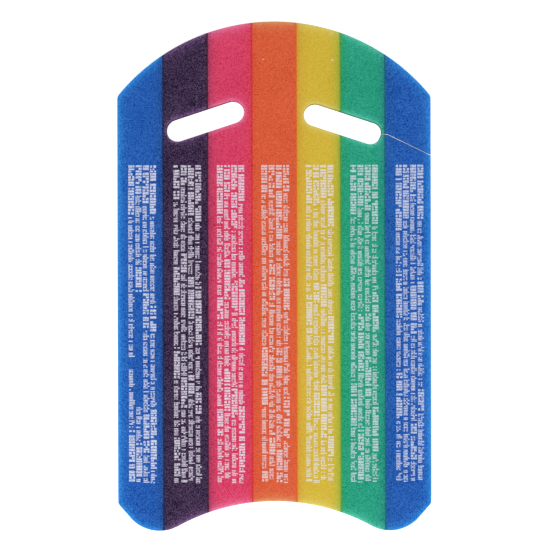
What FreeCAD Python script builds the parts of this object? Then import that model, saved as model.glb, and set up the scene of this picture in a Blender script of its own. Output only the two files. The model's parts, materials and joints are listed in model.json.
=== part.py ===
import FreeCAD, Part

import math
import os

import Sketcher

# Kickboard float.
#
# Seven foam planks stand side by side and are bonded face to face. The block is then cut through to
# its outline, with two slanted hand slots near the nose. The saw entered from the right edge to cut
# the right slot, and its narrow cut still parts the two planks that it crossed.
#
# Frame: the board lies flat on its rest face at z = 0, with +Z up. +Y points to the nose, the arched
# end. X runs across the planks. The origin is under the middle of the board. Lengths are millimetres.

# Every driving dimension: alias, value, meaning. Angles are degrees.
DRIVING = [
    ("board_length", 480.0, "nose to the low line of the tail lobes"),
    ("board_width", 295.5, "across the seven planks"),
    ("board_thickness", 30.0, "rest face to top face"),
    ("edge_round", 3.0, "rounding along the outline's rims, on both faces"),
    ("slot_round", 1.5, "rounding along the hand slots' rims, on both faces"),
    ("nose_radius", 190.0, "arched end"),
    ("shoulder_radius", 6.5, "corner between the nose arc and a side"),
    ("heel_radius", 6.5, "corner between a side and a flank"),
    ("heel_height", 28.3, "tail line to the centre of a heel corner"),
    ("lobe_radius", 36.5, "rounded tail lobe"),
    ("lobe_spacing", 217.2, "between the centres of the tail lobes"),
    ("tail_radius", 190.0, "hollow between the lobes, the same arc as the nose"),
    ("slot_length", 76.1, "hand slot, end to end"),
    ("slot_width", 21.3, "hand slot, side to side"),
    ("slot_tilt", 18.2, "fall of a hand slot towards its outer end"),
    ("slot_reach", 64.8, "board centre line to the middle of a slot"),
    ("left_slot_y", 146.1, "middle of the left slot"),
    ("right_slot_y", 143.2, "middle of the right slot"),
    ("plank_pitch", 41.8, "between two bond films; the blue planks take what is left at the sides"),
    ("bond_thickness", 0.4, "melted film between two planks"),
    ("saw_gap", 0.7, "width of the saw cut along Y"),
    ("saw_lead_x", 97.8, "start of the saw cut, inside the right slot"),
    ("saw_lead_y", 133.1, "height of the level stretch of the saw cut"),
    ("saw_bend_x", 107.3, "where the saw cut turns down to the right edge"),
    ("saw_fall", 26.0, "slope of the saw cut from its bend to the edge"),
    ("saw_lean", 2.45, "lean of the saw cut: its foot lies nearer the nose than its top"),
]

# The planks from left to right, and whether the saw cut parts each of them.
PLANKS = [
    ("blue_left", False),
    ("purple", False),
    ("pink", False),
    ("orange", False),
    ("yellow", False),
    ("green", True),
    ("blue_right", True),
]

# The bond films from left to right, and whether a slot or the saw cut parts each of them.
BONDS = [
    ("bond_blue_purple", False),
    ("bond_purple_pink", True),
    ("bond_pink_orange", False),
    ("bond_orange_yellow", False),
    ("bond_yellow_green", True),
    ("bond_green_blue", True),
]

START, END, CENTRE = 1, 2, 3
ORIGIN = (-1, 1)
X_AXIS, Y_AXIS = -1, -2
UP = FreeCAD.Vector(0, 0, 1)

# A face this level is flat, and a slot takes away at least this volume.
LEVEL_WITHIN = 1e-6
LEAST_CUT = 1.0


def make_sizes(doc):
    """The sheet of driving dimensions, and the same values for first guesses in the sketches."""
    sheet = doc.addObject("Spreadsheet::Sheet", "sizes")
    for row, (alias, value, meaning) in enumerate(DRIVING, start=1):
        sheet.set(f"A{row}", meaning)
        sheet.set(f"B{row}", str(value))
        sheet.setAlias(f"B{row}", alias)
    doc.recompute()
    return {alias: value for alias, value, _ in DRIVING}


def flat_sketch(body, name):
    """An empty sketch on the body's own XY plane."""
    plane = next(f for f in body.Origin.OriginFeatures if f.Role == "XY_Plane")
    sketch = body.newObject("Sketcher::SketchObject", name)
    sketch.AttachmentSupport = [(plane, "")]
    sketch.MapMode = "FlatFace"
    return sketch


def dimension(sketch, label, kind, args, guess, expression):
    """A named dimension bound to the sheet."""
    index = sketch.addConstraint(Sketcher.Constraint(kind, *args, guess))
    sketch.renameConstraint(index, label)
    sketch.setExpression(f"Constraints.{label}", expression)


def arc(centre, radius, first, last):
    """A counter-clockwise arc between two angles in radians."""
    return Part.ArcOfCircle(Part.Circle(centre, UP, radius), first, last)


def angle_of(vector):
    return math.atan2(vector.y, vector.x)


def mirrored(point):
    return FreeCAD.Vector(-point.x, point.y, 0)


def outline_guess(size):
    """The outline's twelve stretches, counter-clockwise from the nose, close to their solved places."""
    half_width = size["board_width"] / 2
    half_length = size["board_length"] / 2
    nose = FreeCAD.Vector(0, half_length - size["nose_radius"], 0)

    inset = half_width - size["shoulder_radius"]
    reach = size["nose_radius"] - size["shoulder_radius"]
    shoulder = FreeCAD.Vector(inset, nose.y + math.sqrt(reach**2 - inset**2), 0)
    nose_start = angle_of(shoulder - nose)

    lobe = FreeCAD.Vector(size["lobe_spacing"] / 2, size["lobe_radius"] - half_length, 0)
    tail_gap = size["lobe_radius"] + size["tail_radius"]
    tail = FreeCAD.Vector(0, lobe.y - math.sqrt(tail_gap**2 - lobe.x**2), 0)
    tail_start = angle_of(lobe - tail)
    lobe_start = angle_of(tail - lobe)

    # The flank is the outer tangent that the lobe and the heel corner share.
    heel = FreeCAD.Vector(half_width - size["heel_radius"], size["heel_height"] - half_length, 0)
    span = heel - lobe
    turn = math.asin((size["lobe_radius"] - size["heel_radius"]) / span.Length)
    flank_turn = angle_of(span) + turn - math.pi / 2
    outward = FreeCAD.Vector(math.cos(flank_turn), math.sin(flank_turn), 0)
    flank_low = lobe + outward * size["lobe_radius"]
    flank_high = heel + outward * size["heel_radius"]

    side_low = FreeCAD.Vector(half_width, heel.y, 0)
    side_high = FreeCAD.Vector(half_width, shoulder.y, 0)
    half_turn = math.pi
    nose_end = half_turn - nose_start
    flank_end = half_turn - flank_turn
    return {
        "nose": arc(nose, size["nose_radius"], nose_start, nose_end),
        "left_shoulder": arc(mirrored(shoulder), size["shoulder_radius"], nose_end, half_turn),
        "left_side": Part.LineSegment(mirrored(side_high), mirrored(side_low)),
        "left_heel": arc(mirrored(heel), size["heel_radius"], half_turn, flank_end),
        "left_flank": Part.LineSegment(mirrored(flank_high), mirrored(flank_low)),
        "left_lobe": arc(mirrored(lobe), size["lobe_radius"], flank_end, half_turn - lobe_start),
        "tail": arc(tail, size["tail_radius"], tail_start, half_turn - tail_start),
        "right_lobe": arc(lobe, size["lobe_radius"], lobe_start, flank_turn),
        "right_flank": Part.LineSegment(flank_low, flank_high),
        "right_heel": arc(heel, size["heel_radius"], flank_turn, 0),
        "right_side": Part.LineSegment(side_low, side_high),
        "right_shoulder": arc(shoulder, size["shoulder_radius"], 0, nose_start),
    }


def outline_sketch(body, size):
    """The board's outline: every stretch runs smoothly into the next, and the sheet sets the rest."""
    sketch = flat_sketch(body, "outline")
    stretches = outline_guess(size)
    place = {name: sketch.addGeometry(shape) for name, shape in stretches.items()}

    # The tail arc is hollow, so the ring passes it from its end to its start.
    ring = list(stretches)
    for name, following in zip(ring, ring[1:] + ring[:1]):
        leave = START if name == "tail" else END
        enter = END if following == "tail" else START
        sketch.addConstraint(
            Sketcher.Constraint("Tangent", place[name], leave, place[following], enter)
        )

    for name, alias in [("nose", "nose_radius"), ("tail", "tail_radius")]:
        dimension(sketch, alias, "Radius", (place[name],), size[alias], f"sizes.{alias}")
    for name in ["shoulder", "heel", "lobe"]:
        right, left = place[f"right_{name}"], place[f"left_{name}"]
        alias = f"{name}_radius"
        dimension(sketch, alias, "Radius", (right,), size[alias], f"sizes.{alias}")
        sketch.addConstraint(Sketcher.Constraint("Equal", right, left))
    for name in ["right_side", "left_side"]:
        sketch.addConstraint(Sketcher.Constraint("Vertical", place[name]))
    for name in ["lobe", "heel"]:
        pair = (place[f"left_{name}"], CENTRE, place[f"right_{name}"], CENTRE)
        sketch.addConstraint(Sketcher.Constraint("Symmetric", *pair, Y_AXIS))

    sketch.addConstraint(Sketcher.Constraint("PointOnObject", place["nose"], CENTRE, Y_AXIS))
    half_length = size["board_length"] / 2
    dimension(
        sketch, "nose_centre", "DistanceY", (*ORIGIN, place["nose"], CENTRE),
        half_length - size["nose_radius"], "sizes.board_length / 2 - sizes.nose_radius",
    )
    dimension(
        sketch, "half_width", "DistanceX", (*ORIGIN, place["right_side"], START),
        size["board_width"] / 2, "sizes.board_width / 2",
    )
    dimension(
        sketch, "lobe_reach", "DistanceX", (*ORIGIN, place["right_lobe"], CENTRE),
        size["lobe_spacing"] / 2, "sizes.lobe_spacing / 2",
    )
    dimension(
        sketch, "lobe_drop", "DistanceY", (place["right_lobe"], CENTRE, *ORIGIN),
        half_length - size["lobe_radius"], "sizes.board_length / 2 - sizes.lobe_radius",
    )
    dimension(
        sketch, "heel_drop", "DistanceY", (place["right_heel"], CENTRE, *ORIGIN),
        half_length - size["heel_height"], "sizes.board_length / 2 - sizes.heel_height",
    )
    return sketch


def slot_sketch(body, side, size):
    """One hand slot: drawn level about its own middle, then set at its place and tilt."""
    sketch = flat_sketch(body, f"{side}_slot_sketch")
    radius = size["slot_width"] / 2
    reach = (size["slot_length"] - size["slot_width"]) / 2
    quarter = math.pi / 2
    corner = FreeCAD.Vector(reach, radius, 0)
    near = sketch.addGeometry(arc(FreeCAD.Vector(-reach, 0, 0), radius, quarter, 3 * quarter))
    below = sketch.addGeometry(Part.LineSegment(-corner, FreeCAD.Vector(reach, -radius, 0)))
    far = sketch.addGeometry(arc(FreeCAD.Vector(reach, 0, 0), radius, -quarter, quarter))
    above = sketch.addGeometry(Part.LineSegment(corner, mirrored(corner)))
    ring = [near, below, far, above]
    for stretch, following in zip(ring, ring[1:] + ring[:1]):
        sketch.addConstraint(Sketcher.Constraint("Tangent", stretch, END, following, START))
    sketch.addConstraint(Sketcher.Constraint("Equal", near, far))
    sketch.addConstraint(Sketcher.Constraint("PointOnObject", far, CENTRE, X_AXIS))
    sketch.addConstraint(Sketcher.Constraint("Symmetric", near, CENTRE, far, CENTRE, *ORIGIN))
    dimension(sketch, "end_radius", "Radius", (near,), radius, "sizes.slot_width / 2")
    dimension(
        sketch, "centres", "DistanceX", (near, CENTRE, far, CENTRE),
        2 * reach, "sizes.slot_length - sizes.slot_width",
    )
    sign = "-" if side == "left" else ""
    fall = "" if side == "left" else "-"
    sketch.setExpression("AttachmentOffset.Base.x", f"{sign}sizes.slot_reach")
    sketch.setExpression("AttachmentOffset.Base.y", f"sizes.{side}_slot_y")
    sketch.setExpression("AttachmentOffset.Rotation.Angle", f"{fall}sizes.slot_tilt")
    return sketch


def rim_edges(shape, of_outline):
    """Names of the edges that bound the flat faces: the outline's edges, or else the slots'."""
    names = []
    for face in shape.Faces:
        if not isinstance(face.Surface, Part.Plane) or face.BoundBox.ZLength > LEVEL_WITHIN:
            continue
        for wire in face.Wires:
            if wire.isSame(face.OuterWire) != of_outline:
                continue
            for rim in wire.Edges:
                index = next(i for i, edge in enumerate(shape.Edges, start=1) if edge.isSame(rim))
                names.append(f"Edge{index}")
    return names


def rounded(body, base, name, of_outline, radius):
    """The body with one set of rims rounded on both faces."""
    fillet = body.newObject("PartDesign::Fillet", name)
    fillet.Base = (base, rim_edges(base.Shape, of_outline))
    fillet.setExpression("Radius", radius)
    body.Document.recompute()
    return fillet


def board_contour(doc, size):
    """The whole board as one outline solid, with its slots and rounded rims, before it is parted."""
    body = doc.addObject("PartDesign::Body", "board_contour")
    slab = body.newObject("PartDesign::Pad", "slab")
    slab.Profile = outline_sketch(body, size)
    slab.setExpression("Length", "sizes.board_thickness")
    doc.recompute()
    before = slab.Shape.Volume

    for side in ["left", "right"]:
        slot = body.newObject("PartDesign::Pocket", f"{side}_slot")
        slot.Profile = slot_sketch(body, side, size)
        slot.Type = "ThroughAll"
        slot.Reversed = True
        doc.recompute()
        if slot.Shape.Volume > before - LEAST_CUT:
            raise RuntimeError(f"the {side} slot cuts nothing")
        before = slot.Shape.Volume

    outline_rims = rounded(body, slot, "outline_rims", True, "sizes.edge_round")
    rounded(body, outline_rims, "slot_rims", False, "sizes.slot_round")
    return body


def saw_zone(doc, name, shift, size):
    """Everything on the tail side of the saw cut, moved along Y by half the cut's width.

    It is drawn at the top face and leans about that level. West of the cut, its border runs level
    through the middle of the right slot, which is open air.
    """
    body = doc.addObject("PartDesign::Body", name)
    sketch = flat_sketch(body, f"{name}_sketch")
    far = size["board_length"]
    fall = math.tan(math.radians(size["saw_fall"]))
    corners = {
        "west": (-far, size["right_slot_y"]),
        "slot": (size["slot_reach"], size["right_slot_y"]),
        "lead": (size["saw_lead_x"], size["saw_lead_y"]),
        "bend": (size["saw_bend_x"], size["saw_lead_y"]),
        "east": (far, size["saw_lead_y"] - (far - size["saw_bend_x"]) * fall),
        "south_east": (far, -far),
        "south_west": (-far, -far),
    }
    names = list(corners)
    line = {}
    for name_here, name_next in zip(names, names[1:] + names[:1]):
        first = FreeCAD.Vector(*corners[name_here], 0)
        last = FreeCAD.Vector(*corners[name_next], 0)
        line[name_here] = sketch.addGeometry(Part.LineSegment(first, last))
    for name_here, name_next in zip(names, names[1:] + names[:1]):
        sketch.addConstraint(
            Sketcher.Constraint("Coincident", line[name_here], END, line[name_next], START)
        )
    for name_here, kind in [
        ("west", "Horizontal"), ("lead", "Horizontal"), ("east", "Vertical"),
        ("south_east", "Horizontal"), ("south_west", "Vertical"),
    ]:
        sketch.addConstraint(Sketcher.Constraint(kind, line[name_here]))

    places = {
        "slot_x": ("DistanceX", "slot", "sizes.slot_reach"),
        "slot_y": ("DistanceY", "slot", "sizes.right_slot_y"),
        "lead_x": ("DistanceX", "lead", "sizes.saw_lead_x"),
        "bend_x": ("DistanceX", "bend", "sizes.saw_bend_x"),
        "bend_y": ("DistanceY", "bend", "sizes.saw_lead_y"),
        "east_x": ("DistanceX", "east", "sizes.board_length"),
    }
    for label, (kind, corner, expression) in places.items():
        guess = corners[corner][0 if kind == "DistanceX" else 1]
        dimension(sketch, label, kind, (*ORIGIN, line[corner], START), guess, expression)
    dimension(
        sketch, "east_drop", "DistanceY", (line["bend"], END, line["bend"], START),
        corners["bend"][1] - corners["east"][1],
        "(sizes.board_length - sizes.saw_bend_x) * tan(sizes.saw_fall)",
    )
    for label, kind in [("south", "DistanceY"), ("west", "DistanceX")]:
        dimension(sketch, label, kind, (line["south_west"], START, *ORIGIN), far, "sizes.board_length")

    block = body.newObject("PartDesign::Pad", f"{name}_block")
    block.Profile = sketch
    block.SideType = "Symmetric"
    block.setExpression("Length", "4 * sizes.board_thickness")
    body.Placement.Rotation = FreeCAD.Rotation(FreeCAD.Vector(1, 0, 0), size["saw_lean"])
    body.setExpression("Placement.Rotation.Angle", "sizes.saw_lean")
    body.setExpression("Placement.Base.y", shift)
    body.setExpression("Placement.Base.z", "sizes.board_thickness")
    doc.recompute()
    return body


def film_middle(index):
    """Where a bond film lies across the board; the six films are set out evenly about the middle."""
    return f"({index} - {(len(BONDS) - 1) / 2}) * sizes.plank_pitch"


def plank_place(index):
    """A plank's left side and its width; the two outermost planks run out to the board's sides."""
    left = f"{film_middle(index - 1)} + sizes.bond_thickness / 2"
    right = f"{film_middle(index)} - sizes.bond_thickness / 2"
    if index == 0:
        left = "-sizes.board_width / 2"
    if index == len(PLANKS) - 1:
        right = "sizes.board_width / 2"
    return left, f"{right} - ({left})"


def strip(doc, label, contour, offset, width):
    """What a lengthwise slice of the board keeps of the outline solid."""
    slice_box = doc.addObject("Part::Box", f"{label}_slice")
    slice_box.setExpression("Length", width)
    slice_box.setExpression("Width", "sizes.board_length")
    slice_box.setExpression("Height", "sizes.board_thickness")
    slice_box.setExpression("Placement.Base.x", offset)
    slice_box.setExpression("Placement.Base.y", "-sizes.board_length / 2")
    kept = doc.addObject("Part::Common", label)
    kept.Base = contour
    kept.Tool = slice_box
    return kept


def parted(doc, whole, tail_side, cut_and_tail_side):
    """The nose-side and tail-side pieces of a strip that a slot or the saw cut parts."""
    upper = doc.addObject("Part::Cut", f"{whole.Name}_upper")
    upper.Base = whole
    upper.Tool = cut_and_tail_side
    lower = doc.addObject("Part::Common", f"{whole.Name}_lower")
    lower.Base = whole
    lower.Tool = tail_side
    return [upper, lower]


def build(doc):
    """Every sub-part of the board, as objects bound to the sheet."""
    size = make_sizes(doc)
    contour = board_contour(doc, size)
    tail_side = saw_zone(doc, "tail_side", "-sizes.saw_gap / 2", size)
    cut_and_tail_side = saw_zone(doc, "cut_and_tail_side", "sizes.saw_gap / 2", size)

    strips = []
    for index, (label, is_parted) in enumerate(PLANKS):
        offset, width = plank_place(index)
        strips.append((strip(doc, label, contour, offset, width), is_parted))
    for index, (label, is_parted) in enumerate(BONDS):
        offset = f"{film_middle(index)} - sizes.bond_thickness / 2"
        strips.append((strip(doc, label, contour, offset, "sizes.bond_thickness"), is_parted))

    pieces = []
    for whole, is_parted in strips:
        pieces += parted(doc, whole, tail_side, cut_and_tail_side) if is_parted else [whole]
    for piece in pieces:
        piece.Label = piece.Name
        piece.Placement = FreeCAD.Placement()
    doc.recompute()
    return pieces


def check(doc, pieces):
    """Stop before anything is written if an object failed or a piece isn't one sound solid."""
    for item in doc.Objects:
        if "Invalid" in item.State or "Error" in item.State:
            raise RuntimeError(f"{item.Label} failed to recompute")
    for piece in pieces:
        shape = piece.Shape
        if shape.isNull() or not shape.isValid() or len(shape.Solids) != 1:
            raise RuntimeError(f"{piece.Label} isn't one valid solid")


def main():
    doc = FreeCAD.newDocument("kickboard_float")
    pieces = build(doc)
    check(doc, pieces)
    os.makedirs("parts", exist_ok=True)
    for piece in pieces:
        piece.Shape.exportStep(f"parts/{piece.Label}.step")
    print(f"{len(pieces)} pieces, {sum(p.Shape.Volume for p in pieces) / 1e6:.3f} litres")


main()
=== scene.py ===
import json
import math

import bpy
import numpy as np
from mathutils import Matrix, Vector
from mathutils.geometry import delaunay_2d_cdt


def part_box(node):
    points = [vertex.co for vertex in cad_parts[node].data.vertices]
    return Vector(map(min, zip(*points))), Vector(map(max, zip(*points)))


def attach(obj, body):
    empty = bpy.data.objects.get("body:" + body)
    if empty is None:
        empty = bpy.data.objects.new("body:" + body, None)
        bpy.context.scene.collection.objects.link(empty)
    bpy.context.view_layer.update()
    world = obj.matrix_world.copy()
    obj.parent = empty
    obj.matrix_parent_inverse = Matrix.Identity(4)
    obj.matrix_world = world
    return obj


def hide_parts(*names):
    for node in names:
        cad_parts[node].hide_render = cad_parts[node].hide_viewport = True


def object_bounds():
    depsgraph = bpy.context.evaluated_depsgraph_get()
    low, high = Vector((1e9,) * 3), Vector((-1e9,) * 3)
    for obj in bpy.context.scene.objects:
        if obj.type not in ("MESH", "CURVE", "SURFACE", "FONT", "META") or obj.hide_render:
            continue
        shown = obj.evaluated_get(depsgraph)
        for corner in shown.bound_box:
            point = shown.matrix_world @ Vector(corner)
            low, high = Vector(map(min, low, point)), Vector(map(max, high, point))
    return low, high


# Kickboard float: how its foam, bond lines and print look.
#
# The board's face is drawn once as a flat net of triangles, with rings that follow the outline and the
# hand slots, and lines along the bond seams and the saw cut. Each CAD node's share of that net is then
# given thickness, rounded rims, seam grooves and sawn walls. Plan sizes are millimetres, until a mesh
# is made in metres.

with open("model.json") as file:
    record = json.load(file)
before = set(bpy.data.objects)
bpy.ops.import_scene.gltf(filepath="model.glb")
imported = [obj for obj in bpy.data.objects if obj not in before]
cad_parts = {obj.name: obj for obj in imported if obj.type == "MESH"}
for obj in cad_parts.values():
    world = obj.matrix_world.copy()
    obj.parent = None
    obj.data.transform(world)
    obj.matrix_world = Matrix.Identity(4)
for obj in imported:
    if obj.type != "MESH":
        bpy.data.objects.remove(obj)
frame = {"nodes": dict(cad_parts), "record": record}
cad_low, cad_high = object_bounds()

MM = 0.001
SEED = 7
TINY = 1e-9
QUARTER = math.pi / 2

# The board, from the frame.
HALF_WIDTH = cad_high.x / MM
HALF_LENGTH = cad_high.y / MM
THICKNESS = (cad_high.z - cad_low.z) / MM
MOUNTS = {mount["name"]: mount for mount in frame["record"]["mounts"]}
LEFT_SLOT_Y = MOUNTS["left_hand_slot"]["pos_m"][1] / MM
RIGHT_SLOT_X, RIGHT_SLOT_Y = np.array(MOUNTS["right_hand_slot"]["pos_m"][:2]) / MM

# The outline's arcs, as the CAD part has them.
NOSE_RADIUS = 190.0
CORNER_RADIUS = 6.5
LOBE_RADIUS = 36.5
LOBE_X = 108.6
TAIL_RADIUS = 190.0
HEEL_RISE = 28.3
SLOT_TILT = math.radians(18.2)
RIM_RADIUS = 3.0
SLOT_RIM_RADIUS = 1.5

# The saw cut that came in from the right edge. Its lips nearly close beside the slot.
SAW_START_X = 97.8
SAW_BEND_X = 107.3
SAW_CLOSED_X = 100.5
SAW_CLOSED_SHARE = 0.2
SAW_PARTING = 14.0
SAW_LEAD_Y = 133.1
SAW_FALL = math.tan(math.radians(26))
SAW_GAP = 0.7
SAW_LEAN = math.tan(math.radians(2.45)) * THICKNESS
SAW_LEAN_REACH = 14.0

# The net: the length of its steps, how near to a drawn line a grid point may lie, and the lines that
# are drawn along a rim as it turns, in degrees, and beside a seam and a lip of the saw cut.
STEP = 2.4
SAW_STEP = STEP / 1.5
ROW_STEP = STEP * 0.87
GRID_JITTER = 0.25
CLEARANCE = 1.1
MERGE_WITHIN = 1e-5
RING_TURNS = [0, 20, 40, 60, 75, 90]
RING_BEYOND = 1.6
SEAM_LINES = [0.5, 0.95, 1.7]
LIP_LINES = [0.0, 0.2, 0.5, 1.1]
CHUNK = 4000

# The foam's faces: grooves along the seams, and waves as (height, width of a wave, seed).
GROOVE_DEPTH = 0.28
GROOVE_WIDTH = 0.55
LIP_RADIUS = 0.4
FACE_DROP = 0.22
FACE_WAVES = [(0.10, 46.0, 0), (0.05, 15.0, 10), (0.06, 5.2, 20), (0.035, 2.7, 30)]
TOP_SEED, BOTTOM_SEED = 1, 2
CALM_BESIDE_SEAM = 1.7
LEAST_WAVES = 0.15

# The sawn walls: waves as (height, width of a wave, stretch along Z, seed).
WALL_LEVELS = 9
WALL_RUN = (1.0, 1.7)
WALL_DROP = 0.1
WALL_WAVES = [(0.16, 21.0, 1.0, 50), (0.07, 4.1, 2.2, 51)]
ON_FILM = 1e-3
SMOOTH_BELOW = math.radians(50)

# Soft noise: the lattice's size, and where the board lies on it.
LATTICE = 256
LATTICE_X, LATTICE_Y = 97.3, 101.9

PLANKS = ["blue_left", "purple", "pink", "orange", "yellow", "green", "blue_right"]
BONDS = ["blue_purple", "purple_pink", "pink_orange", "orange_yellow", "yellow_green", "green_blue"]

# Display colours of each foam: its sawn face, its rims painted paler where light comes through, and how
# strongly its cells show.
FACE = {
    "blue": (0.145, 0.345, 0.655),
    "purple": (0.235, 0.170, 0.275),
    "pink": (0.800, 0.245, 0.375),
    "orange": (0.812, 0.350, 0.225),
    "yellow": (0.785, 0.672, 0.230),
    "green": (0.160, 0.585, 0.472),
}
PAINTED_RIM_GLOW = {
    "blue": (0.21, 0.61, 0.93),
    "purple": (0.52, 0.38, 0.58),
    "pink": (0.91, 0.54, 0.70),
    "orange": (0.84, 0.66, 0.46),
    "yellow": (0.86, 0.81, 0.48),
    "green": (0.40, 0.80, 0.70),
}
GRAIN = {"blue": 0.21, "purple": 0.29, "pink": 0.155, "orange": 0.125, "yellow": 0.085, "green": 0.165}

# Display colours of the melted bond lines.
LINE = {
    "blue_purple": (0.12, 0.15, 0.32),
    "purple_pink": (0.26, 0.10, 0.18),
    "pink_orange": (0.77, 0.18, 0.21),
    "orange_yellow": (0.82, 0.37, 0.11),
    "yellow_green": (0.36, 0.55, 0.25),
    "green_blue": (0.08, 0.38, 0.44),
}
DISPLAY_GAMMA = 2.2

# The painted glow of light coming through the rims fades over GLOW_REACH, and sooner around the slots.
GLOW, GLOW_REACH = 0.90, 3.6
SLOT_GLOW_FALL = 1.7
# Beside a seam a plank is painted with shade, tinted by its neighbour, and the melted line itself
# covers it.
SEAM_SHADE, SEAM_SHADE_REACH = 0.44, 3.6
LINE_COVER, LINE_CORE, LINE_EDGE = 0.85, 0.3, 1.1
# Undyed beads that show in a plank's top face: (x, y, radius).
BEAD_COLOUR = (0.88, 0.82, 0.70)
BEADS = {"yellow": (55.3, 203.3, 1.1), "orange": (-10.2, 204.1, 0.7)}
BEAD_COVER, BEAD_CORE, BEAD_EDGE = 0.9, 0.2, 1.4

# Foam texture: how many features per millimetre, and how strongly each kind counts. A noise lies about
# its middle, and a bump is (depth in millimetres, strength).
NOISE_MIDDLE = 0.5
CELLS_PER_MM = 0.9
CELL_MIDDLE, CELL_WEIGHT = 0.46, 0.9
SPECKLE_PER_MM, SPECKLE_WEIGHT = 1.25, 1.5
BLOTCHES_PER_MM, BLOTCH_WEIGHT = 0.3, 0.45
CLOUDS_PER_MM, CLOUD_WEIGHT = 0.03, 0.35
STREAKS_PER_MM, STREAK_WEIGHT = 0.7, 0.9
STREAK_STRETCH = (1.0, 1.0, 0.06)
# The upward part of a normal, below which a surface is all wall and above which it is all face.
WALL_LEAN = (0.15, 0.5)
GRAIN_SPREAD = (-0.5, 0.5)
FOAM_ROUGHNESS = (0.92, 0.74)
FOAM_BUMP = (0.2, 0.5)
FOAM_SHEEN = {
    "Specular IOR Level": 0.14, "Subsurface Weight": 0.05, "Subsurface Radius": (1.0, 0.9, 0.8),
    "Subsurface Scale": 0.002,
}
# Melted foam and ink are denser than foam, so they shine a little.
DENSE_SHEEN = {"Specular IOR Level": 0.2}
MELT_PER_MM, MELT_WEIGHT = 0.9, 0.2
MELT_SPREAD = (0.3, 0.7)
MELT_ROUGHNESS = (0.5, 0.7)
MELT_BUMP = (0.2, 0.7)

# The print: rows of plain ticks on each plank, with lengths in millimetres.
ROWS = 4
ROW_PITCH = 6.8
# How far each plank's print lies to the right of the plank's middle.
PRINT_SHIFT = {
    "blue_left": 1.9, "purple": 1.8, "pink": 0.9, "orange": 1.2, "yellow": 1.1, "green": 1.2,
    "blue_right": 1.5,
}
PRINT_TOP = 104.5
PRINT_END = -195.1
TALL, SHORT = 5.6, 3.9
# A tick's width, the gap after it, and the share of ticks that are tall.
BOLD = {"width": (1.5, 2.4), "gap": (0.4, 0.8), "tall": 0.95}
LIGHT = {"width": (0.85, 1.15), "gap": (0.45, 0.55), "tall": 0.22}
# How far bold print runs, how far light print runs at least, and the chance of bold at each word after.
FIRST_BOLD, LATER_BOLD = (20, 45), (15, 40)
LIGHT_AT_LEAST = 60
BOLD_AGAIN = 0.25
WORD_TICKS = (1, 12)
WORD_GAP = (1.0, 2.4)
# Some ticks are split in two along their height, and a few are only half of one.
SPLIT_SHARE, SPLIT_GAP, SPLIT_AT = 0.25, 1.2, (0.4, 0.6)
DASH_SHARE = 0.05
PRINT_WANDER, WANDER_LENGTH, WANDER_SEED = 0.35, 60.0, 60
INK_HEIGHT = 0.05
INK_DEPTH = 0.2
FAR_FROM_EDGES = 99.0
# Stretches of a row that stay blank: (plank, row) to the blank's ends along Y.
BLANKS = {("blue_left", 0): (-86.0, -76.0), ("blue_left", 1): (-121.0, -15.0)}
INK_COLOUR = (0.84, 0.83, 0.88)
INK_ROUGHNESS = 0.62
# Ink is lost over the deepest cells and in patches.
DEEP_CELLS, DEEP_LOSS = (0.35, 0.85), 0.4
PATCHES_PER_MM, PATCH_SPREAD, PATCH_LOSS = 1.4, (0.5, 0.75), 0.45
INK_BUMP = (-0.1, 0.6)
# How much of the print's strength each plank has lost.
FADED = {
    "blue_left": 0.02, "purple": 0.04, "pink": 0.03, "orange": 0.12, "yellow": 0.08, "green": 0.13,
    "blue_right": 0.09,
}

# The studio, in metres; only the camera's sensor is in millimetres.
CAMERA_DISTANCE = 3.6
FRAME_WIDTH = 0.5180
CAMERA_X, CAMERA_Y = 0.0007, 0.00095
CAMERA_ROLL = math.radians(-0.13)
SENSOR_WIDTH = 36.0
FARTHEST_SEEN = 50.0
HALF_FLOOR = 6.0
FLOOR_GAP = 0.0003
SKY_STRENGTH = 0.74
# Name, place, size and power of each lamp.
LAMPS = [("key", (-0.15, -0.75, 1.35), 1.1, 9.6), ("fill", (0.3, 1.7, 1.4), 1.4, 5.0)]

# The light table's glow: what lights the board, and what the camera sees below and away from the slots,
# with the fade between those two in millimetres.
TABLE_LIGHT = 0.35
TABLE_NEAR_SLOTS, TABLE_AWAY = 0.9, 0.55
TABLE_STRETCH_Y = 3.0
TABLE_FADES_FROM, TABLE_FADES_TO = 118.0, 150.0
FLOOR_TONES = ((0.93, 0.93, 0.93), (0.95, 0.95, 0.95))
TONES_PER_MM, FLOOR_GRAIN_PER_MM = 0.02, 0.6
FLOOR_ROUGHNESS = 0.7
FLOOR_BUMP = (0.05, 0.2)


# ---------------------------------------------------------------- plan curves

def arc(centre_x, centre_y, radius, first, last):
    """Points of an arc from one angle to another, without its last point."""
    count = max(3, math.ceil(abs(last - first) * radius / STEP))
    turn = np.linspace(first, last, count, endpoint=False)
    return np.column_stack([centre_x + radius * np.cos(turn), centre_y + radius * np.sin(turn)])


def spaced(points):
    """The same closed line with every long stretch divided into steps."""
    pieces = []
    for start, end in zip(points, np.roll(points, -1, axis=0)):
        count = max(1, round(float(np.hypot(*(end - start))) / STEP))
        share = np.arange(count)[:, None] / count
        pieces.append(start + (end - start) * share)
    return np.vstack(pieces)


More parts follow.
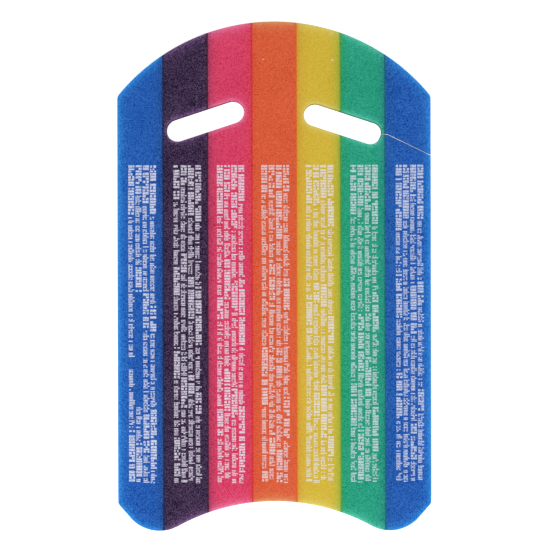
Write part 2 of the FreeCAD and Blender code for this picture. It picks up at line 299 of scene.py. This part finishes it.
def outline(inset):
    """The board's outline, counter-clockwise, moved inwards by inset."""
    corner_x = HALF_WIDTH - CORNER_RADIUS
    nose_y = HALF_LENGTH - NOSE_RADIUS
    shoulder_y = nose_y + math.sqrt((NOSE_RADIUS - CORNER_RADIUS) ** 2 - corner_x**2)
    shoulder_turn = math.atan2(shoulder_y - nose_y, corner_x)
    lobe_y = LOBE_RADIUS - HALF_LENGTH
    tail_y = lobe_y - math.sqrt((LOBE_RADIUS + TAIL_RADIUS) ** 2 - LOBE_X**2)
    tail_turn = math.atan2(lobe_y - tail_y, LOBE_X)
    heel_y = HEEL_RISE - HALF_LENGTH
    run, rise = corner_x - LOBE_X, heel_y - lobe_y
    lead = math.asin((LOBE_RADIUS - CORNER_RADIUS) / math.hypot(run, rise))
    flank_turn = math.atan2(rise, run) + lead - QUARTER
    corner = CORNER_RADIUS - inset
    right = np.vstack([
        arc(0, tail_y, TAIL_RADIUS + inset, QUARTER, tail_turn),
        arc(LOBE_X, lobe_y, LOBE_RADIUS - inset, tail_turn - math.pi, flank_turn),
        arc(corner_x, heel_y, corner, flank_turn, 0),
        arc(corner_x, shoulder_y, corner, 0, shoulder_turn),
        arc(0, nose_y, NOSE_RADIUS - inset, shoulder_turn, QUARTER),
        [[0, HALF_LENGTH - inset]],
    ])
    left = right[-2:0:-1] * (-1, 1)
    return spaced(np.vstack([right, left]))


def slot(side, outset):
    """One hand slot's rim, moved outwards from its hollow by outset."""
    mount = MOUNTS[f"{side}_hand_slot"]
    middle = np.array(mount["pos_m"][:2]) / MM
    radius = mount["dims"]["hole_r_mm"]
    reach = mount["dims"]["slot_length_mm"] / 2 - radius
    grown = radius + outset
    rim = np.vstack([arc(reach, 0, grown, -QUARTER, QUARTER), [[reach, grown]]])
    rim = spaced(np.vstack([rim, -rim]))
    turn = SLOT_TILT if side == "left" else -SLOT_TILT
    cos, sin = math.cos(turn), math.sin(turn)
    return middle + rim @ np.array([[cos, sin], [-sin, cos]])


def saw_y(x):
    """The middle of the saw cut at the top face."""
    return SAW_LEAD_Y - np.maximum(np.asarray(x, float) - SAW_BEND_X, 0) * SAW_FALL


def saw_half_gap(x):
    """The lips nearly close beside the slot, and part quickly beyond it."""
    opening = np.clip((np.asarray(x, float) - SAW_CLOSED_X) / SAW_PARTING, 0, 1)
    return SAW_GAP / 2 * (SAW_CLOSED_SHARE + (1 - SAW_CLOSED_SHARE) * np.sqrt(opening))


def saw_lip(towards_nose, offset):
    """One lip of the saw cut, or a line beside it: 1 is the lip towards the nose, -1 the other."""
    x = np.append(np.arange(SAW_START_X, HALF_WIDTH + STEP, SAW_STEP), SAW_BEND_X)
    x = np.sort(x)
    return np.column_stack([x, saw_y(x) + towards_nose * (saw_half_gap(x) + offset)])


# ---------------------------------------------------------------- measures over the plan

def distance_to(points, line, closed):
    """How far each point lies from a line made of straight stretches."""
    start = line if closed else line[:-1]
    end = np.roll(line, -1, axis=0) if closed else line[1:]
    span = end - start
    length_squared = np.maximum((span**2).sum(1), TINY**2)
    nearest = np.empty(len(points))
    for first in range(0, len(points), CHUNK):
        offset = points[first:first + CHUNK, None, :] - start[None]
        share = np.clip((offset * span).sum(2) / length_squared, 0, 1)
        gap = offset - share[..., None] * span
        nearest[first:first + CHUNK] = np.sqrt((gap**2).sum(2).min(1))
    return nearest


def inside(points, ring):
    """Whether each point lies within a closed line, by counting crossings."""
    x, y = points[:, 0], points[:, 1]
    count = np.zeros(len(points), int)
    for (x0, y0), (x1, y1) in zip(ring, np.roll(ring, -1, axis=0)):
        crosses = (y0 > y) != (y1 > y)
        if y1 != y0:
            count += crosses & (x < x0 + (y - y0) * (x1 - x0) / (y1 - y0))
    return count % 2 == 1


def soft_noise(x, y, cell, seed):
    """Smooth random relief from -1 to 1 with features about one cell wide."""
    lattice = np.random.default_rng(SEED * 1000 + seed).uniform(-1, 1, (LATTICE, LATTICE))
    u, v = np.asarray(x) / cell + LATTICE_X, np.asarray(y) / cell + LATTICE_Y
    i, j = np.floor(u).astype(int), np.floor(v).astype(int)
    s, t = u - i, v - j
    s, t = s * s * (3 - 2 * s), t * t * (3 - 2 * t)
    i, j = i % (LATTICE - 1), j % (LATTICE - 1)
    low = lattice[i, j] * (1 - s) + lattice[i + 1, j] * s
    high = lattice[i, j + 1] * (1 - s) + lattice[i + 1, j + 1] * s
    return low * (1 - t) + high * t


def seam_positions():
    """The middle of each bond film, left to right."""
    middles = []
    for bond in BONDS:
        name = f"bond_{bond}" if f"bond_{bond}" in frame["nodes"] else f"bond_{bond}_lower"
        low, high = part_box(name)
        middles.append((low.x + high.x) / 2 / MM)
    return np.array(middles)


SEAMS = seam_positions()
film_low, film_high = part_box("bond_pink_orange")
HALF_FILM = (film_high.x - film_low.x) / 2 / MM


def rounding(distance, radius):
    """How far a rounded rim drops at a distance from its edge."""
    short = np.clip(radius - distance, 0, radius)
    return radius - np.sqrt(radius**2 - short**2)


def relief(points, edges, face_seed):
    """How far a face lies below its flat level: rounded rims, seam grooves, saw lips and foam waves."""
    x, y = points[:, 0], points[:, 1]
    seam = np.abs(x[:, None] - SEAMS[None]).min(1)
    drop = rounding(edges["outline"], RIM_RADIUS) + rounding(edges["slots"], SLOT_RIM_RADIUS)
    drop += rounding(edges["saw"], LIP_RADIUS) + GROOVE_DEPTH * np.exp(-((seam / GROOVE_WIDTH) ** 2))
    waves = sum(height * soft_noise(x, y, cell, face_seed + seed) for height, cell, seed in FACE_WAVES)
    calm = np.clip(np.minimum(edges["outline"], edges["slots"]) / RIM_RADIUS, 0, 1)
    return drop + (FACE_DROP + waves) * calm * np.clip(seam / CALM_BESIDE_SEAM, LEAST_WAVES, 1)


def measure(points):
    """Distances and relief at each plan point."""
    slots = [distance_to(points, slot(side, 0), True) for side in ["left", "right"]]
    lips = [distance_to(points, saw_lip(side, 0.0), False) for side in [1, -1]]
    edges = {
        "outline": distance_to(points, outline(0), True),
        "slots": np.minimum(*slots),
        "saw": np.minimum(*lips),
    }
    reach = np.clip(1 - edges["saw"] / SAW_LEAN_REACH, 0, 1)
    return {
        # This distance sets the painted rim glow, which fades sooner around the slots.
        "rim": np.minimum(edges["outline"], edges["slots"] * SLOT_GLOW_FALL),
        "shift": SAW_LEAN * reach * reach * (3 - 2 * reach),
        "top": relief(points, edges, TOP_SEED),
        "bottom": relief(points, edges, BOTTOM_SEED),
    }


# ---------------------------------------------------------------- the net

def rings(radius):
    """Distances from an edge at which a rounded rim of this radius turns evenly, and one beyond it."""
    insets = [radius * (1 - math.cos(math.radians(turn))) for turn in RING_TURNS]
    return insets + [radius + RING_BEYOND]


def drawn_lines():
    """Every line that the net's triangles follow, and whether it is closed."""
    lines = [(outline(inset), True) for inset in rings(RIM_RADIUS)]
    for side in ["left", "right"]:
        lines += [(slot(side, outset), True) for outset in rings(SLOT_RIM_RADIUS)]
    seam_y = np.arange(-HALF_LENGTH - STEP, HALF_LENGTH + STEP, STEP)
    for seam in SEAMS:
        for offset in [HALF_FILM] + SEAM_LINES:
            for x in [seam - offset, seam + offset]:
                lines.append((np.column_stack([np.full_like(seam_y, x), seam_y]), False))
    for offset in LIP_LINES:
        lines += [(saw_lip(1, offset), False), (saw_lip(-1, offset), False)]
    return lines


def interior_points(drawn):
    """A staggered grid of points that keeps clear of every drawn line."""
    rows = np.arange(-HALF_LENGTH, HALF_LENGTH, ROW_STEP)
    columns = np.arange(-HALF_WIDTH, HALF_WIDTH, STEP)
    grid = np.array([
        (x + (STEP / 2 if number % 2 else 0), y) for number, y in enumerate(rows) for x in columns
    ])
    grid += np.random.default_rng(SEED).uniform(-GRID_JITTER, GRID_JITTER, grid.shape)
    cells = {}
    for x, y in drawn:
        cells.setdefault((int(x // CLEARANCE), int(y // CLEARANCE)), []).append((x, y))

    def is_clear(x, y):
        column, row = int(x // CLEARANCE), int(y // CLEARANCE)
        for i in (column - 1, column, column + 1):
            for j in (row - 1, row, row + 1):
                for px, py in cells.get((i, j), ()):
                    if (px - x) ** 2 + (py - y) ** 2 < CLEARANCE**2:
                        return False
        return True

    return np.array([point for point in grid if is_clear(*point)])


def board_net():
    """The flat net: its points, and its triangles as rows of three point numbers, all wound one way."""
    points, edges, taken = [], [], 0
    for line, closed in drawn_lines():
        numbers = np.arange(taken, taken + len(line))
        following = np.roll(numbers, -1) if closed else numbers[1:]
        edges += list(zip(numbers.tolist(), following.tolist()))
        points.append(line)
        taken += len(line)

    drawn = np.vstack(points)
    grid = interior_points(drawn)
    everything = [Vector(point) for point in np.vstack([drawn, grid]).tolist()]
    found = delaunay_2d_cdt(everything, edges, [], 0, MERGE_WITHIN, False)
    plan = np.array([tuple(point) for point in found[0]])
    triangles = np.array([tuple(face) for face in found[2] if len(face) == 3])
    first, second, third = (plan[triangles[:, k]] for k in range(3))
    flipped = np.cross(second - first, third - first) < 0
    triangles[flipped] = triangles[flipped][:, ::-1]
    return plan, triangles


def node_of_each(centres):
    """Which CAD node each triangle belongs to, by its middle; None outside the foam."""
    x, y = centres[:, 0], centres[:, 1]
    in_slot = inside(centres, slot("left", 0)) | inside(centres, slot("right", 0))
    in_cut = (x > SAW_START_X) & (np.abs(y - saw_y(x)) < saw_half_gap(x))
    in_foam = inside(centres, outline(0)) & ~in_slot & ~in_cut
    through_slot = np.interp(x, [RIGHT_SLOT_X, SAW_START_X], [RIGHT_SLOT_Y, SAW_LEAD_Y])
    parting = np.where(x < 0, LEFT_SLOT_Y, np.where(x < SAW_START_X, through_slot, saw_y(x)))
    zone = np.searchsorted(SEAMS, x)
    seam = np.abs(x[:, None] - SEAMS[None]).argmin(1)
    on_film = np.abs(x - SEAMS[seam]) < HALF_FILM
    names = []
    for k in range(len(centres)):
        if not in_foam[k]:
            names.append(None)
            continue
        name = f"bond_{BONDS[seam[k]]}" if on_film[k] else PLANKS[zone[k]]
        if name not in frame["nodes"]:
            name += "_upper" if y[k] > parting[k] else "_lower"
        names.append(name)
    return np.array(names, dtype=object)


# ---------------------------------------------------------------- meshes

def border_of(triangles):
    """The outer edges of a share of the net, each as the numbers of its two points in walking order."""
    pairs = np.vstack([triangles[:, [0, 1]], triangles[:, [1, 2]], triangles[:, [2, 0]]])
    known = set(map(tuple, pairs.tolist()))
    return np.array([pair for pair in pairs.tolist() if (pair[1], pair[0]) not in known])


def unit(vectors):
    """The same vectors at length one; none stay none."""
    return vectors / np.maximum(np.hypot(vectors[:, 0], vectors[:, 1]), TINY)[:, None]


def outward_at(xy, border):
    """The outward direction at each border point, or none where a plank and a bond film meet."""
    along = xy[border[:, 1]] - xy[border[:, 0]]
    side = unit(np.column_stack([along[:, 1], -along[:, 0]]))
    from_film = np.abs(np.abs(xy[border][:, :, 0, None] - SEAMS) - HALF_FILM).min(2).max(1)
    side[from_film <= ON_FILM] = 0
    outward = np.zeros_like(xy)
    np.add.at(outward, border[:, 0], side)
    np.add.at(outward, border[:, 1], side)
    return unit(outward)


def wall_level(share, xy, top, bottom, outward):
    """Points of a wall at a share of its height, from the top down, where the saw strayed a little."""
    z = top * (1 - share) + bottom * share
    run = xy @ WALL_RUN
    stray = -WALL_DROP + sum(
        height * soft_noise(run, z * stretch, cell, seed) for height, cell, stretch, seed in WALL_WAVES
    )
    stray *= math.sin(math.pi * share) ** 0.5
    return np.column_stack([xy + outward * stray[:, None], z])


def layered(values, edge_points):
    """Values for the top face's points, each wall level's points and the bottom face's points."""
    return np.concatenate([values] + [values[edge_points]] * (WALL_LEVELS - 1) + [values])


def slab_points(xy, top, bottom, shift, border, edge_points):
    """The top face's points, each wall level's points and the bottom face's points."""
    outward = outward_at(xy, border)[edge_points]
    layers = [np.column_stack([xy, top])]
    for level in range(1, WALL_LEVELS):
        share = level / WALL_LEVELS
        layers.append(
            wall_level(share, xy[edge_points], top[edge_points], bottom[edge_points], outward)
        )
    layers.append(np.column_stack([xy, bottom]))
    points = np.vstack(layers)
    points[:, 1] += layered(shift, edge_points) * (THICKNESS - points[:, 2]) / THICKNESS
    return points


def slab_faces(triangles, border, edge_points, count):
    """Triangles of the top and bottom faces, and four-sided faces of the walls between them."""
    place = np.zeros(count, int)
    place[edge_points] = np.arange(len(edge_points))
    bottom_start = count + len(edge_points) * (WALL_LEVELS - 1)

    def number(corner, level):
        if level == 0:
            return corner
        if level == WALL_LEVELS:
            return bottom_start + corner
        return count + len(edge_points) * (level - 1) + place[corner]

    faces = triangles.tolist() + (bottom_start + triangles[:, ::-1]).tolist()
    first, second = border[:, 0], border[:, 1]
    for level in range(WALL_LEVELS):
        faces += np.column_stack([
            number(first, level), number(first, level + 1),
            number(second, level + 1), number(second, level),
        ]).tolist()
    return faces


def build_mesh(name, plan, measures, triangles):
    """One closed mesh in metres: both faces of the net's share, joined by walls along its border."""
    used, flat = np.unique(triangles, return_inverse=True)
    flat = flat.reshape(triangles.shape)
    here = {key: values[used] for key, values in measures.items()}
    border = border_of(flat)
    edge_points = np.unique(border)
    top = THICKNESS - here["top"]
    points = slab_points(plan[used], top, here["bottom"], here["shift"], border, edge_points)

    # How far each point lies from a rim, which sets the painted rim glow; down a wall that distance
    # grows from its nearer rim.
    from_rim = np.minimum(THICKNESS - points[:, 2], points[:, 2]) - RIM_RADIUS
    rims = layered(here["rim"], edge_points)
    rims += np.clip(from_rim, 0, None) * (rims < RIM_RADIUS / 2)

    mesh = bpy.data.meshes.new(name)
    mesh.from_pydata((points * MM).tolist(), [], slab_faces(flat, border, edge_points, len(used)))
    mesh.attributes.new("rim", "FLOAT", "POINT").data.foreach_set("value", rims.astype(np.float32))
    mesh.shade_smooth()
    mesh.set_sharp_from_angle(angle=SMOOTH_BELOW)
    mesh.update()
    return mesh


def add_piece(name, mesh, material):
    """A finished piece that rides with the board."""
    piece = bpy.data.objects.new(name, mesh)
    bpy.context.scene.collection.objects.link(piece)
    mesh.materials.append(material)
    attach(piece, "root")
    return piece


# ---------------------------------------------------------------- materials

class Shader:
    """Wires one node material."""

    def __init__(self, name):
        self.material = bpy.data.materials.new(name)
        self.material.use_nodes = True
        self.tree = self.material.node_tree
        self.surface = self.tree.nodes["Principled BSDF"]

    def set(self, socket, value):
        """Link a node's output to a socket, or give the socket a plain value."""
        if isinstance(value, bpy.types.NodeSocket):
            self.tree.links.new(value, socket)
        elif isinstance(value, tuple) and len(value) == 3 and socket.type == "RGBA":
            socket.default_value = (*value, 1.0)
        else:
            socket.default_value = value

    def node(self, kind, output, inputs, **settings):
        """A new node with its inputs set; returns one of its outputs."""
        node = self.tree.nodes.new(kind)
        for key, value in settings.items():
            setattr(node, key, value)
        for key, value in inputs.items():
            self.set(node.inputs[key], value)
        return node.outputs[output]

    def maths(self, operation, first, second=0.0):
        return self.node("ShaderNodeMath", 0, {0: first, 1: second}, operation=operation)

    def vector(self, operation, output, first, second=None):
        inputs = {0: first} if second is None else {0: first, 1: second}
        return self.node("ShaderNodeVectorMath", output, inputs, operation=operation)

    def mix(self, share, first, second):
        """The first colour, covered by a share of the second."""
        inputs = {0: share, 6: first, 7: second}
        return self.node("ShaderNodeMix", 2, inputs, data_type="RGBA")

    def place_mm(self):
        """The point in the row frame, in millimetres."""
        at = self.node("ShaderNodeTexCoord", "Object", {})
        return self.node("ShaderNodeVectorMath", 0, {0: at, "Scale": 1 / MM}, operation="SCALE")

    def noise(self, at, per_mm, detail=2.0, roughness=0.5):
        inputs = {"Vector": at, "Scale": per_mm, "Detail": detail, "Roughness": roughness}
        return self.node("ShaderNodeTexNoise", 0, inputs)

    def cells(self, at):
        return self.node("ShaderNodeTexVoronoi", 0, {"Vector": at, "Scale": CELLS_PER_MM})

    def ramp(self, value, low, high, at_low=0.0, at_high=1.0):
        """Value carried smoothly from one range to another, held beyond its ends."""
        inputs = {"Value": value, 1: low, 2: high, 3: at_low, 4: at_high}
        return self.node("ShaderNodeMapRange", 0, inputs, interpolation_type="SMOOTHSTEP")

    def bump(self, height, depth_mm, strength):
        inputs = {"Height": height, "Distance": depth_mm * MM, "Strength": strength}
        return self.node("ShaderNodeBump", 0, inputs)

    def add(self, first, second):
        return self.vector("ADD", 0, first, second)

    def falloff(self, distance, strength, reach):
        """Strength that fades exponentially with distance."""
        faded = self.maths("EXPONENT", self.maths("MULTIPLY", distance, -1 / reach))
        return self.maths("MULTIPLY", faded, strength)

    def about_zero(self, value, weight, middle=NOISE_MIDDLE):
        """A texture's value as a weighted step above or below its middle."""
        return self.maths("MULTIPLY", self.maths("SUBTRACT", value, middle), weight)

    def grain(self, at):
        """Packed foam cells with fine speckle, soft blotches and slow clouds, about zero."""
        cells = self.about_zero(self.cells(at), -CELL_WEIGHT, CELL_MIDDLE)
        speckle = self.about_zero(self.noise(at, SPECKLE_PER_MM, detail=1.0), SPECKLE_WEIGHT)
        blotch = self.about_zero(self.noise(at, BLOTCHES_PER_MM), BLOTCH_WEIGHT)
        cloud = self.about_zero(self.noise(at, CLOUDS_PER_MM), CLOUD_WEIGHT)
        return self.maths("ADD", self.maths("ADD", cells, speckle), self.maths("ADD", blotch, cloud))

    def streaks(self, at):
        """Fine upright marks that the saw leaves on the walls, and nothing on the faces."""
        facing = self.node("ShaderNodeNewGeometry", "True Normal", {})
        upward = self.node("ShaderNodeSeparateXYZ", "Z", {0: facing})
        on_wall = self.ramp(self.maths("ABSOLUTE", upward), *WALL_LEAN, 1.0, 0.0)
        drawn_out = self.vector("MULTIPLY", 0, at, STREAK_STRETCH)
        marks = self.about_zero(self.noise(drawn_out, STREAKS_PER_MM, detail=3.0), STREAK_WEIGHT)
        return self.maths("MULTIPLY", on_wall, marks)

    def finish(self, colour, roughness, normal, others):
        """Set the surface; the colour is a display colour, and a shader takes it linear."""
        linear = self.node("ShaderNodeGamma", 0, {"Color": colour, "Gamma": DISPLAY_GAMMA})
        inputs = {"Base Color": linear, "Roughness": roughness, "Normal": normal, **others}
        for key, value in inputs.items():
            self.set(self.surface.inputs[key], value)
        return self.material


def foam_material(name, foam, left_seam, right_seam):
    """Closed-cell foam: packed cells, a paler rim painted where light comes through, and painted shade
    beside each bond seam.

    A seam is (its place across the board, the neighbour's foam, the melted line's colour), or None at
    the board's side.
    """
    shader = Shader(name)
    at = shader.place_mm()
    across = shader.node("ShaderNodeSeparateXYZ", 0, {0: at})
    rim = shader.node("ShaderNodeAttribute", "Fac", {}, attribute_name="rim")
    # Painted glow: near the rims the face colour turns to the paler rim colour, standing in for light
    # coming through the foam.
    body = shader.mix(shader.falloff(rim, GLOW, GLOW_REACH), FACE[foam], PAINTED_RIM_GLOW[foam])

    for seam in (left_seam, right_seam):
        if seam is None:
            continue
        middle, neighbour, line = seam
        # Painted shade: towards the seam the plank darkens to the darker of the two foams.
        seam_shade_colour = tuple(min(pair) for pair in zip(FACE[foam], FACE[neighbour]))
        gap = shader.maths("ABSOLUTE", shader.maths("SUBTRACT", across, middle))
        body = shader.mix(shader.falloff(gap, SEAM_SHADE, SEAM_SHADE_REACH), body, seam_shade_colour)
        body = shader.mix(shader.ramp(gap, LINE_CORE, LINE_EDGE, LINE_COVER, 0.0), body, line)

    if foam in BEADS:
        x, y, radius = BEADS[foam]
        gap = shader.vector("DISTANCE", "Value", at, (x, y, THICKNESS))
        bead = shader.ramp(gap, BEAD_CORE, radius * BEAD_EDGE, BEAD_COVER, 0.0)
        body = shader.mix(bead, body, BEAD_COLOUR)

    grain = shader.grain(at)
    texture = shader.maths("ADD", grain, shader.streaks(at))
    body = shader.add(body, shader.maths("MULTIPLY", texture, GRAIN[foam]))
    roughness = shader.ramp(grain, *GRAIN_SPREAD, *FOAM_ROUGHNESS)
    return shader.finish(body, roughness, shader.bump(texture, *FOAM_BUMP), FOAM_SHEEN)


def film_material(name, line):
    """A bond line: foam skin melted to a dense, faintly shiny bead."""
    shader = Shader(name)
    beads = shader.noise(shader.place_mm(), MELT_PER_MM, detail=3.0, roughness=0.6)
    body = shader.add(shader.about_zero(beads, MELT_WEIGHT), line)
    roughness = shader.ramp(beads, *MELT_SPREAD, *MELT_ROUGHNESS)
    return shader.finish(body, roughness, shader.bump(beads, *MELT_BUMP), DENSE_SHEEN)


def ink_material(name, foam, faded):
    """Screen print that has missed the deepest foam cells."""
    shader = Shader(name)
    at = shader.place_mm()
    cells = shader.cells(at)
    patches = shader.noise(at, PATCHES_PER_MM, detail=3.0, roughness=0.7)
    deep = shader.ramp(cells, *DEEP_CELLS, faded, faded + DEEP_LOSS)
    worn = shader.maths("ADD", deep, shader.ramp(patches, *PATCH_SPREAD, 0.0, PATCH_LOSS))
    body = shader.mix(worn, INK_COLOUR, FACE[foam])
    return shader.finish(body, INK_ROUGHNESS, shader.bump(cells, *INK_BUMP), DENSE_SHEEN)


def floor_material():
    """A white light table, brightest below the hand slots, that also lights the board's edges."""
    shader = Shader("pale_floor")
    at = shader.place_mm()
    body = shader.mix(shader.noise(at, TONES_PER_MM, detail=4.0), *FLOOR_TONES)
    normal = shader.bump(shader.noise(at, FLOOR_GRAIN_PER_MM), *FLOOR_BUMP)
    stretched = shader.vector("MULTIPLY", 0, at, (1.0, TABLE_STRETCH_Y, 0.0))
    slots = (0.0, TABLE_STRETCH_Y * LEFT_SLOT_Y, 0.0)
    distance = shader.vector("LENGTH", "Value", shader.vector("SUBTRACT", 0, stretched, slots))
    seen = shader.ramp(distance, TABLE_FADES_FROM, TABLE_FADES_TO, TABLE_NEAR_SLOTS, TABLE_AWAY)
    rays = shader.node("ShaderNodeLightPath", "Is Camera Ray", {})
    extra = shader.maths("MULTIPLY", rays, shader.maths("SUBTRACT", seen, TABLE_LIGHT))
    glow = {
        "Emission Color": (1.0, 1.0, 1.0),
        "Emission Strength": shader.maths("ADD", TABLE_LIGHT, extra),
    }
    return shader.finish(body, FLOOR_ROUGHNESS, normal, glow)


# ---------------------------------------------------------------- the board

def foam_of(index):
    """The foam of a plank, by the plank's number from the left."""
    return PLANKS[index].split("_")[0]


def seam_beside(index, neighbour):
    """A bond seam as seen from one of its planks, by the number of the plank on its left."""
    if not 0 <= index < len(SEAMS):
        return None
    return float(SEAMS[index]), foam_of(neighbour), LINE[BONDS[index]]


def node_materials():
    """Every CAD node's material, by node name."""
    made = {}
    for index, plank in enumerate(PLANKS):
        seams = seam_beside(index - 1, index - 1), seam_beside(index, index + 1)
        made[plank] = foam_material(f"foam_{plank}", foam_of(index), *seams)
    for bond in BONDS:
        made[f"bond_{bond}"] = film_material(f"bond_{bond}", LINE[bond])
    return {
        node: made[node.removesuffix("_upper").removesuffix("_lower")] for node in frame["nodes"]
    }


def build_board():
    """All the foam planks and bond films."""
    plan, triangles = board_net()
    measures = measure(plan)
    names = node_of_each(plan[triangles].mean(1))
    materials = node_materials()
    for node in sorted(frame["nodes"]):
        name = node.replace("bond_", "film_") if node.startswith("bond_") else f"foam_{node}"
        mesh = build_mesh(name, plan, measures, triangles[names == node])
        piece = add_piece(name, mesh, materials[node])
        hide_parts(node)


# ---------------------------------------------------------------- the print

def inked_parts(random, height):
    """What of a tick's height is inked: all of it, two stacked dashes, or only its foot or its head."""
    kind = random.random()
    if kind < SPLIT_SHARE:
        middle = height * random.uniform(*SPLIT_AT)
        return [(0, middle - SPLIT_GAP / 2), (middle + SPLIT_GAP / 2, height)]
    if kind < SPLIT_SHARE + DASH_SHARE:
        return [(0, height / 2) if random.random() < 0.5 else (height / 2, height)]
    return [(0, height)]


def row_ticks(random, blank):
    """Plain upright ticks in word-sized groups along one row: (start, end, foot, head)."""
    ticks = []
    y = PRINT_TOP
    bold_until = y - random.uniform(*FIRST_BOLD)
    while y > PRINT_END:
        if y < bold_until - LIGHT_AT_LEAST and random.random() < BOLD_AGAIN:
            bold_until = y - random.uniform(*LATER_BOLD)
        style = BOLD if y > bold_until else LIGHT
        for _ in range(random.integers(*WORD_TICKS)):
            width = random.uniform(*style["width"])
            height = TALL if random.random() < style["tall"] else SHORT
            if blank and y > blank[0] and y - width < blank[1]:
                y = blank[0]
                break
            if y - width < PRINT_END:
                return ticks
            ticks += [(y, y - width, foot, head) for foot, head in inked_parts(random, height)]
            y -= width + random.uniform(*style["gap"])
        y -= random.uniform(*WORD_GAP)
    return ticks


def print_mesh(name, rows):
    """One plank's ink: a thin slip for each tick, laid on the foam's own relief."""
    corners = []
    for foot_x, ticks in rows:
        for start, end, foot, head in ticks:
            low_x, high_x = foot_x + foot, foot_x + head
            corners += [(low_x, end), (high_x, end), (high_x, start), (low_x, start)]
    corners = np.array(corners)
    wander = soft_noise(corners[:, 0], corners[:, 1], WANDER_LENGTH, WANDER_SEED)
    corners[:, 0] += PRINT_WANDER * wander
    far = np.full(len(corners), FAR_FROM_EDGES)
    level = THICKNESS - relief(corners, {"outline": far, "slots": far, "saw": far}, TOP_SEED)
    points = np.vstack([
        np.column_stack([corners, level + INK_HEIGHT]), np.column_stack([corners, level - INK_DEPTH]),
    ])
    below = len(corners)
    faces = []
    for first in range(0, below, 4):
        a, b, c, d = range(first, first + 4)
        faces += [(a, b, c, d), (d + below, c + below, b + below, a + below)]
        for p, q in [(a, b), (b, c), (c, d), (d, a)]:
            faces.append((p, p + below, q + below, q))
    mesh = bpy.data.meshes.new(name)
    mesh.from_pydata((points * MM).tolist(), [], faces)
    mesh.update()
    return mesh


def build_print():
    """The rows of generic print on each plank's top face."""
    random = np.random.default_rng(SEED)
    sides = np.concatenate([[-HALF_WIDTH], SEAMS, [HALF_WIDTH]])
    for index, plank in enumerate(PLANKS):
        middle = (sides[index] + sides[index + 1]) / 2 + PRINT_SHIFT[plank]
        rows = []
        for row in range(ROWS):
            foot_x = middle + (row - (ROWS - 1) / 2) * ROW_PITCH - TALL / 2
            rows.append((foot_x, row_ticks(random, BLANKS.get((plank, row)))))
        name = f"print_{plank}"
        ink = ink_material(name, foam_of(index), FADED[plank])
        add_piece(name, print_mesh(name, rows), ink)


# ---------------------------------------------------------------- the studio

def build_floor():
    """The plain pale floor, just below the board."""
    level = cad_low.z - FLOOR_GAP
    mesh = bpy.data.meshes.new("floor")
    signs = [(-1, -1), (1, -1), (1, 1), (-1, 1)]
    corners = [(x * HALF_FLOOR, y * HALF_FLOOR, level) for x, y in signs]
    mesh.from_pydata(corners, [], [(0, 1, 2, 3)])
    floor = bpy.data.objects.new("floor", mesh)
    bpy.context.scene.collection.objects.link(floor)
    mesh.materials.append(floor_material())


def area_light(name, place, size, power):
    """A large soft light that faces the board and isn't seen itself."""
    data = bpy.data.lights.new(name, "AREA")
    data.shape = "DISK"
    data.size = size
    data.energy = power
    lamp = bpy.data.objects.new(name, data)
    lamp.location = place
    lamp.rotation_mode = "QUATERNION"
    lamp.rotation_quaternion = (-Vector(place)).to_track_quat("-Z", "Y")
    lamp.visible_camera = False
    bpy.context.scene.collection.objects.link(lamp)


def build_camera():
    """Straight above the board, with its long side upright in the frame."""
    data = bpy.data.cameras.new("camera")
    data.sensor_width = SENSOR_WIDTH
    data.lens = SENSOR_WIDTH * CAMERA_DISTANCE / FRAME_WIDTH
    data.clip_end = FARTHEST_SEEN
    camera = bpy.data.objects.new("camera", data)
    camera.location = (CAMERA_X, CAMERA_Y, cad_high.z + CAMERA_DISTANCE)
    camera.rotation_euler = (0.0, 0.0, CAMERA_ROLL)
    bpy.context.scene.collection.objects.link(camera)
    bpy.context.scene.camera = camera


def build_studio():
    """The floor, the lamps, a white sky and the camera."""
    build_floor()
    for lamp in LAMPS:
        area_light(*lamp)
    world = bpy.data.worlds.new("studio")
    world.use_nodes = True
    sky = world.node_tree.nodes["Background"]
    sky.inputs["Color"].default_value = (1.0, 1.0, 1.0, 1.0)
    sky.inputs["Strength"].default_value = SKY_STRENGTH
    bpy.context.scene.world = world
    build_camera()
    bpy.context.scene.view_settings.view_transform = "Standard"


build_board()
build_print()
build_studio()
